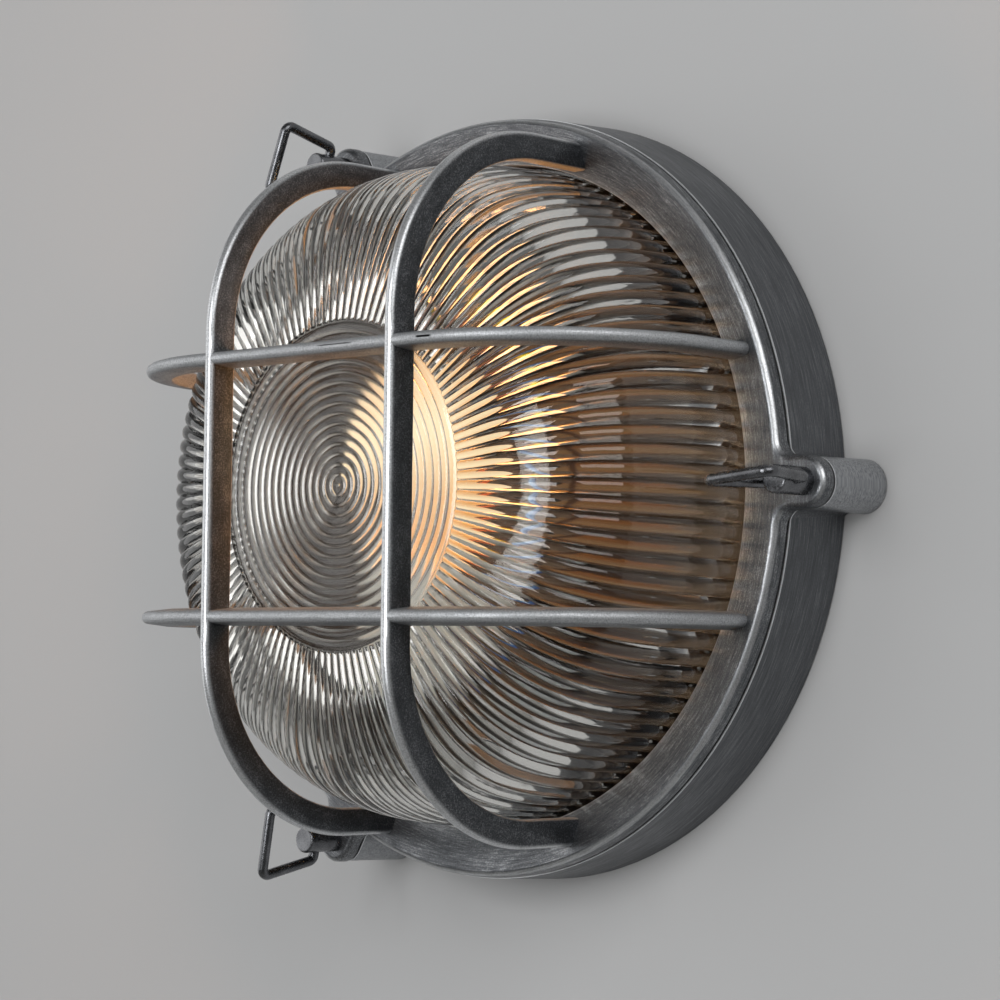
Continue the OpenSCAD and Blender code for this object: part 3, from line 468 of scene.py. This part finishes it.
def makeLens():
    s = ribbedLens
    bm = bmesh.new()
    share = 1 / s["ribs"]  # one rib's sector, repeated round below
    disc = discProfile(s)
    spinLine(bm, disc, 2, share=share)
    start = (s["discRadius"], s["front"])
    wall = (s["wallRadius"], s["seat"])
    dome = [(start[0] - back, start[1] - down) for back, down in s["tips"]]
    dome += domeProfile(s, start, s["shoulder"], wall, s["bands"])
    cutRibs(s, spinLine(bm, dome, s["ribFaces"], share=share), dome)
    thin = s["glass"]
    inside = domeProfile(s, (start[0], s["front"] - thin), s["shoulder"] - thin,
                         (s["wallRadius"] - thin, s["flangeBack"]), s["innerBands"])
    flange = [(s["flangeRadius"], s["seat"]), (s["flangeRadius"], s["flangeBack"])]
    spinLine(bm, flange + inside[::-1] + [(0, s["front"] - thin)], 2, share=share)
    sector = bm.verts[:] + bm.edges[:] + bm.faces[:]
    for k in range(1, s["ribs"]):
        copied = bmesh.ops.duplicate(bm, geom=sector)["geom"]
        bmesh.ops.rotate(bm, verts=[g for g in copied if isinstance(g, bmesh.types.BMVert)], cent=(0, 0, 0),
                         matrix=Matrix.Rotation(tau * k * share, 3, "Y"))
    bmesh.ops.remove_doubles(bm, verts=bm.verts, dist=weld)
    near = s["near"]
    bmesh.ops.bridge_loops(bm, edges=openEdges(bm, disc[-1][0] - near, start[0] + near))
    bmesh.ops.bridge_loops(bm, edges=openEdges(bm, wall[0] - 2 * near, s["flangeRadius"] + near))
    bmesh.ops.recalc_face_normals(bm, faces=bm.faces)
    print("lens: open edges", sum(e.is_boundary for e in bm.edges), "faces", len(bm.faces))
    for face in bm.faces:  # polished outside, stippled inside, frosted behind the disc
        spot = face.calc_center_median()
        if face.normal.dot(spot - place(0, 0, s["seat"])) >= 0:
            face.material_index = 0
        elif math.hypot(spot.x, spot.z) < s["discRadius"] * mm:
            face.material_index = 2
        else:
            face.material_index = 1
    glasses = [finishes[name] for name in ("glass", "stipple", "frost")]
    lens = addPiece("ribbedLens", bm, glasses, "cover", ["lens"], sharp=50)
    lens.visible_shadow = False  # lamps light the inside through the glass


makeLens()
print("lens made")


castGuard = {
    "innerRadius": 95.2, "spigotRadius": 104.6, "spigotBack": 21.0, "spigotEdge": 0.3,
    "back": 22.5, "backRadius": 108.7, "front": 26.8, "frontRadius": 107.9, "dish": 2.8,
    "edge": 1.6, "edgeFaces": 6, "backEdge": 0.25, "backEdgeFaces": 2, "bore": 0.4, "steps": 288,
    "barOffset": 35.75, "barCrest": 98.3, "barHalf": 97.98, "barBend": 55, "barFoot": 23.3, "bendFaces": 28,
    "crestWidth": 3.6, "crestTurn": 77, "backWidth": 5, "barDepth": 8, "backRound": 0.7,
    "levelDrop": 0.35, "levelDepth": 7.75,  # level bars lie a little lower than upright ones
    "lugAt": 116.2, "lugRadius": 6.8, "lugFlare": 0.2, "lugFillet": 5, "holeRadius": 2.6, "holeFaces": 48,
    "bossAt": 101.4, "bossTurn": 60, "bossRadius": 3, "bossBack": 15.9, "bossHole": 1.5, "bossLap": 0.8,
    "bossFloor": 0.2, "lap": 1, "rimGap": 0.1, "dishBack": 3, "dishRoom": 10}  # how far tools run past
lugAngles = (0, 120, 240)
guardFinishes = [finishes[name] for name in ("ring", "level", "upright")]


def helper(name, bm, index):
    bmesh.ops.remove_doubles(bm, verts=bm.verts, dist=weld)
    bmesh.ops.recalc_face_normals(bm, faces=bm.faces)
    for face in bm.faces:
        face.material_index = index
    mesh = bpy.data.meshes.new(name)
    bm.to_mesh(mesh)
    bm.free()
    for finish in guardFinishes:
        mesh.materials.append(finish)
    made = bpy.data.objects.new(name, mesh)
    scene.collection.objects.link(made)
    return made


def guardOutline(ring, lug, depth):  # ring and three lugs in plan
    s = castGuard
    f = s["lugFillet"]
    centre = (math.sqrt((ring + f) ** 2 - (lug + f) ** 2), lug + f)
    meet = math.degrees(math.atan2(centre[1], centre[0]))
    half = arc((s["lugAt"], 0), lug, 0, 90, 14) + arc(centre, f, 270, 180 + meet, 9)
    half += arc((0, 0), ring, meet, 60, 40)[1:]
    sector = [(x, -y) for x, y in reversed(half[1:-1])] + half
    outline = []
    for degrees in lugAngles:
        c, n = math.cos(math.radians(degrees)), math.sin(math.radians(degrees))
        outline += [place(x * c - y * n, x * n + y * c, depth) for x, y in sector]
    return outline


def guardPlate():
    s = castGuard
    bm = bmesh.new()
    loops = []
    for ring, lug, depth in ((s["backRadius"], s["lugRadius"] + s["lugFlare"], s["back"]),
                             (s["frontRadius"], s["lugRadius"], s["front"])):
        face = bm.faces.new([bm.verts.new(spot) for spot in guardOutline(ring, lug, depth)])
        loops.append(face.edges[:])
    bmesh.ops.bridge_loops(bm, edges=loops[0] + loops[1])
    bmesh.ops.recalc_face_normals(bm, faces=bm.faces)
    for loop, key in ((loops[1], "edge"), (loops[0], "backEdge")):
        bmesh.ops.bevel(bm, geom=loop, offset=s[key] * mm, offset_type="OFFSET", segments=s[key + "Faces"],
                        profile=0.5, affect="EDGES", material=-1)
    return helper("plate", bm, 0)


def guardSpigot():
    s = castGuard
    inner = s["innerRadius"] - s["lap"]  # the bore is cut later
    outer = s["spigotRadius"]
    back, front = s["spigotBack"], s["back"] + s["lap"]
    edge = s["spigotEdge"]
    bm = bmesh.new()
    spinLine(bm, [(inner, back), (outer - edge, back), (outer, back + edge), (outer, front), (inner, front)],
             s["steps"], closed=True)
    return helper("spigot", bm, 0)


def guardDish():  # cuts the bore and the ring's sloping face
    s = castGuard
    low = s["front"] - s["dish"]
    slope = math.degrees(math.atan2(s["dish"], s["frontRadius"] - s["innerRadius"]))
    past = s["edge"] * 2  # the slope runs on clear of the front face
    rim = s["frontRadius"] - s["edge"] - s["rimGap"] + past
    lip = s["bore"]
    back, front = s["spigotBack"] - s["dishBack"], s["front"] + s["dishRoom"]
    line = [(0, back), (s["innerRadius"], back)]
    line += arc((s["innerRadius"] + lip, low - lip), lip, 180, 90 + slope, 4)
    line += [(rim, s["front"] + past * math.tan(math.radians(slope))), (rim, front), (0, front)]
    bm = bmesh.new()
    spinLine(bm, line, s["steps"])
    return helper("dish", bm, 0)


def guardBars(upright):
    s = castGuard
    sink, deep = (0, s["barDepth"]) if upright else (s["levelDrop"], s["levelDepth"])
    r, b = s["crestWidth"] / 2, s["backRound"]
    section = arc((-r, 0), r, -s["crestTurn"], s["crestTurn"], 12)
    section += arc((b - deep, s["backWidth"] / 2 - b), b, 90, 180, 3)
    section += arc((b - deep, b - s["backWidth"] / 2), b, 180, 270, 3)
    half, bend = s["barHalf"], s["barBend"]
    rise = s["barCrest"] - sink - bend - s["barFoot"]
    bm = bmesh.new()
    loop = []

    def push(step):
        edges = [g for g in loop if isinstance(g, bmesh.types.BMEdge)]
        grown = bmesh.ops.extrude_edge_only(bm, edges=edges)["geom"]
        loop[:] = [g for g in grown if not isinstance(g, bmesh.types.BMFace)]
        bmesh.ops.translate(bm, verts=[g for g in loop if isinstance(g, bmesh.types.BMVert)], vec=step)

    def turn(x, offset):
        loop[:] = bmesh.ops.spin(bm, geom=loop, cent=place(x, offset, s["barFoot"] + rise), axis=(0, 0, 1),
                                 angle=-math.pi / 2, steps=s["bendFaces"])["geom_last"]

    for offset in (-s["barOffset"], s["barOffset"]):
        foot = [bm.verts.new(place(half + x, offset + y, s["barFoot"])) for x, y in section]
        loop[:] = foot + [bm.edges.new(pair) for pair in zip(foot, foot[1:] + foot[:1])]
        push(place(0, 0, rise))
        turn(half - bend, offset)
        push(place(-2 * (half - bend), 0, 0))
        turn(bend - half, offset)
        push(place(0, 0, -rise))
    bmesh.ops.holes_fill(bm, edges=bm.edges)
    if upright:
        bmesh.ops.rotate(bm, verts=bm.verts, cent=(0, 0, 0), matrix=Matrix.Rotation(math.pi / 2, 3, "Y"))
    return helper("bars", bm, 2 if upright else 1)


def drilled(radius, at, start, back, front):  # three round bars or holes
    bm = bmesh.new()
    for degrees in lugAngles:
        made = bmesh.ops.create_cone(bm, cap_ends=True, segments=castGuard["holeFaces"], radius1=radius * mm,
                                     radius2=radius * mm, depth=(front - back) * mm)
        bmesh.ops.rotate(bm, verts=made["verts"], cent=(0, 0, 0), matrix=Matrix.Rotation(math.pi / 2, 3, "X"))
        bmesh.ops.translate(bm, verts=made["verts"], vec=polar(at, degrees + start, (back + front) / 2))
    return helper("drilled", bm, 0)


def combine(base, steps):
    for operation, tool in steps:
        step = base.modifiers.new(operation, "BOOLEAN")
        step.operation = operation
        step.solver = "MANIFOLD"
        step.object = tool
    bpy.context.view_layer.update()
    made = bpy.data.meshes.new_from_object(base.evaluated_get(bpy.context.evaluated_depsgraph_get()))
    bm = bmesh.new()
    bm.from_mesh(made)
    bpy.data.meshes.remove(made)
    for used in [base] + [tool for _, tool in steps]:
        bpy.data.objects.remove(used)
    return bm


def makeGuard():
    s = castGuard
    spigot, boss, lap = s["spigotBack"], s["bossBack"], s["lap"]
    bosses = (s["bossAt"], s["bossTurn"])
    steps = [("UNION", guardSpigot()),
             ("UNION", drilled(s["bossRadius"], *bosses, boss, spigot + s["bossLap"])),
             ("DIFFERENCE", guardDish()),
             ("DIFFERENCE", drilled(s["holeRadius"], s["lugAt"], 0, spigot - lap, s["front"] + lap)),
             ("DIFFERENCE", drilled(s["bossHole"], *bosses, boss - lap, spigot - s["bossFloor"])),
             ("UNION", guardBars(False)),
             ("UNION", guardBars(True))]
    bm = combine(guardPlate(), steps)
    print("guard: open edges", sum(not e.is_manifold for e in bm.edges), "faces", len(bm.faces))
    addPiece("castGuard", bm, guardFinishes, "cover", ["guard"])


makeGuard()
print("guard made")


wireBail = {"screwAt": 116.2, "holeDepth": 34.0, "reach": 19.5, "far": 20.6, "legX": 6.15, "bend": 2,
            "wireRadius": 1.5, "wireRound": 5, "pinStart": 1.15,
            "turns": {"right": (0, 5), "upper": (120, 68), "lower": (240, 80)}}  # round the ring, and turned


def bailLine(s):  # half of the loop, from the pin outwards, and its mirror
    b = s["bend"]
    lean = math.degrees(math.atan2(s["reach"], s["far"] / 2 - s["legX"]))
    lowX = s["legX"] - b * math.tan(math.radians(lean / 2))
    topY = s["reach"] - b
    topX = s["legX"] + (topY * math.cos(math.radians(lean)) - b) / math.sin(math.radians(lean))
    half = [(s["pinStart"], 0)]
    half += arc((lowX, b), b, -90, lean - 90, 10)
    half += arc((topX, topY), b, lean - 90, 90, 14)
    return half + [(-x, y) for x, y in reversed(half)]


def makeBail(name, degrees, turn):
    s = wireBail
    line = bailLine(s)
    across = Vector((math.cos(math.radians(turn)), 0, math.sin(math.radians(turn))))
    centre = polar(s["screwAt"], degrees, s["holeDepth"])
    data = bpy.data.curves.new("wire", "CURVE")
    data.dimensions = "3D"
    data.bevel_depth = s["wireRadius"] * mm
    data.bevel_resolution = s["wireRound"]
    data.use_fill_caps = True
    spline = data.splines.new("POLY")
    spline.points.add(len(line) - 1)
    for point, (x, y) in zip(spline.points, line):
        point.co = (*(centre + across * x * mm + Vector((0, -y * mm, 0))), 1)
    wire = bpy.data.objects.new("wire", data)
    scene.collection.objects.link(wire)
    bpy.context.view_layer.update()
    made = bpy.data.meshes.new_from_object(wire.evaluated_get(bpy.context.evaluated_depsgraph_get()))
    bm = bmesh.new()
    bm.from_mesh(made)
    bpy.data.meshes.remove(made)
    bpy.data.objects.remove(wire)
    bmesh.ops.remove_doubles(bm, verts=bm.verts, dist=weld)
    bmesh.ops.recalc_face_normals(bm, faces=bm.faces)
    addPiece("wireBail." + name, bm, [finishes["gunmetal"]], name + "_bail",
             ["bail_" + name])


for bailName, (bailAt, bailTurn) in wireBail["turns"].items():
    makeBail(bailName, bailAt, bailTurn)
print("bails made")


# CAD pieces that keep their shape and take a finish
cadFinish = {
    "pan": ["rear_housing"],
    "rubber": ["rim_gasket", "lens_gasket", "cable_grommet"],
    "opal": ["bulb"],
    "zinc": ["lampholder_bracket", "bracket_screws", "lampholder_screws", "terminal_screws",
             "terminal_fixing_screw", "lens_clips", "clip_screws"],
    "ceramic": ["lampholder"],
    "brass": ["lampholder_shell", "lampholder_contact", "earth_screw"],
    "nylon": ["terminal_block", "screw_retainers"],
    "brown": ["live_wire"],
    "blue": ["neutral_wire"],
    "green": ["earth_wire"],
    "gunmetal": ["thumbscrew_right", "thumbscrew_upper", "thumbscrew_lower"]}
for finish, names in cadFinish.items():
    for nodeName in names:
        slots = nodes[nodeName].data.materials
        slots.clear()
        slots.append(finishes[finish])
print("CAD pieces finished:", sum(len(names) for names in cadFinish.values()))


stage = {"wall": "#bbbbbb", "wallAt": 0.0004, "floor": "#c4c4c2", "floorAt": -2.4, "size": 8,
         "open": 108.5, "lugAt": 116.2, "lugOpen": 6.5,  # the wall is open behind the light and its lugs
         "roller": 3, "bump": 0.12, "bumpDepth": 0.2, "rough": 0.8, "gloss": 0.2}


def emulsion(name, colour, openings):
    # Emulsion on plaster: an even pale grey with a faint roller texture.
    s = stage
    material, tree = newMaterial(name)
    where = addNode(tree, "ShaderNodeTexCoord")
    roll = addNode(tree, "ShaderNodeTexNoise", {"Vector": where.outputs["Object"],
                   "Scale": 1 / (s["roller"] * mm), "Detail": 1})
    bump = addNode(tree, "ShaderNodeBump", {"Strength": s["bump"], "Distance": s["bumpDepth"] * mm,
                   "Height": roll.outputs[0]})
    surface = addNode(tree, "ShaderNodeBsdfPrincipled",
                      {"Base Color": linear(colour), "Roughness": s["rough"],
                       "Specular IOR Level": s["gloss"], "Normal": bump.outputs[0]})
    if openings:  # see-through from behind as well
        flat = addNode(tree, "ShaderNodeVectorMath", {0: where.outputs["Object"], 1: (1, 0, 1)},
                       operation="MULTIPLY")
        clear = addNode(tree, "ShaderNodeNewGeometry").outputs["Backfacing"]
        for centre, radius in openings:
            apart = addNode(tree, "ShaderNodeVectorMath", {0: flat.outputs[0], 1: centre},
                            operation="DISTANCE")
            hole = addNode(tree, "ShaderNodeMath", {0: apart.outputs["Value"], 1: radius * mm},
                           operation="LESS_THAN")
            either = addNode(tree, "ShaderNodeMath", {0: hole.outputs[0], 1: clear}, operation="MAXIMUM")
            clear = either.outputs[0]
        through = addNode(tree, "ShaderNodeBsdfTransparent")
        surface = addNode(tree, "ShaderNodeMixShader",
                          {0: clear, 1: surface.outputs[0], 2: through.outputs[0]})
    closeMaterial(tree, surface.outputs[0])
    return material


def makeStage():
    s = stage
    openings = [((0, 0, 0), s["open"])] + [(polar(s["lugAt"], a, 0), s["lugOpen"]) for a in lugAngles]
    for name, turn, spot, opened in (
            ("wall", Matrix.Rotation(math.pi / 2, 3, "X"), (0, s["wallAt"], 0), openings),
            ("floor", Matrix.Identity(3), (0, 0, s["floorAt"]), ())):
        bm = bmesh.new()
        bmesh.ops.create_grid(bm, x_segments=1, y_segments=1, size=s["size"] / 2)
        bmesh.ops.rotate(bm, verts=bm.verts, cent=(0, 0, 0), matrix=turn)
        bmesh.ops.translate(bm, verts=bm.verts, vec=spot)
        mesh = bpy.data.meshes.new(name)
        bm.to_mesh(mesh)
        bm.free()
        mesh.materials.append(emulsion(name + "Paint", s[name], opened))
        plane = bpy.data.objects.new(name, mesh)
        scene.collection.objects.link(plane)


bulbGlow = {"at": (0, 15, 45), "radius": 20, "power": 1.05, "colour": "#ffae5e"}  # the bulb's own light
lamps = {
    "frontBox": {"from": (0.08, -1.5, 0.12), "size": (0.6, 1.0), "power": 11, "colour": "#fdfeff"},
    "topBox": {"from": (2.0, -1.15, 1.25), "size": (2.0, 1.6), "power": 30, "colour": "#ffffff"},
    "sideCard": {"from": (-2.6, -0.45, 0.1), "size": (1.4, 2.6), "power": 12, "colour": "#ffffff"},
    "backFill": {"from": (1.8, 1.8, 0.1), "size": (2.2, 2.2), "power": 26, "colour": "#ffffff"},
    "leftFill": {"from": (-3.2, -2.6, 0.6), "size": (2.6, 3.4), "power": 29, "colour": "#ffffff"},
}
studio = {"air": "#bcbcbc", "strength": 0.25, "bounces": 6, "diffuseBounces": 2}  # enough for the glass


def makeLamps():
    for name, s in lamps.items():
        data = bpy.data.lights.new(name, "AREA")
        data.shape = "RECTANGLE"
        data.size, data.size_y = s["size"]
        data.energy = s["power"]
        data.color = linear(s["colour"])[:3]
        lamp = bpy.data.objects.new(name, data)
        lamp.location = s["from"]
        lamp.rotation_euler = (-Vector(s["from"])).to_track_quat("-Z", "Y").to_euler()
        scene.collection.objects.link(lamp)
    data = bpy.data.lights.new("bulbGlow", "POINT")
    data.energy = bulbGlow["power"]
    data.shadow_soft_size = bulbGlow["radius"] * mm
    data.color = linear(bulbGlow["colour"])[:3]
    lamp = bpy.data.objects.new("bulbGlow", data)
    lamp.location = place(*bulbGlow["at"])
    lamp.visible_camera = lamp.visible_glossy = lamp.visible_transmission = False
    scene.collection.objects.link(lamp)
    nodes["bulb"].visible_shadow = False  # its light comes from within


def makeStudio():
    world = bpy.data.worlds.new("studio")
    world.use_nodes = True
    air = world.node_tree.nodes["Background"].inputs
    air["Color"].default_value = linear(studio["air"])
    air["Strength"].default_value = studio["strength"]
    scene.world = world
    scene.view_settings.view_transform = "Standard"
    scene.cycles.max_bounces = studio["bounces"]
    scene.cycles.diffuse_bounces = studio["diffuseBounces"]
    scene.cycles.caustics_reflective = scene.cycles.caustics_refractive = False


makeStage()
makeLamps()
makeStudio()
print("stage and light set")
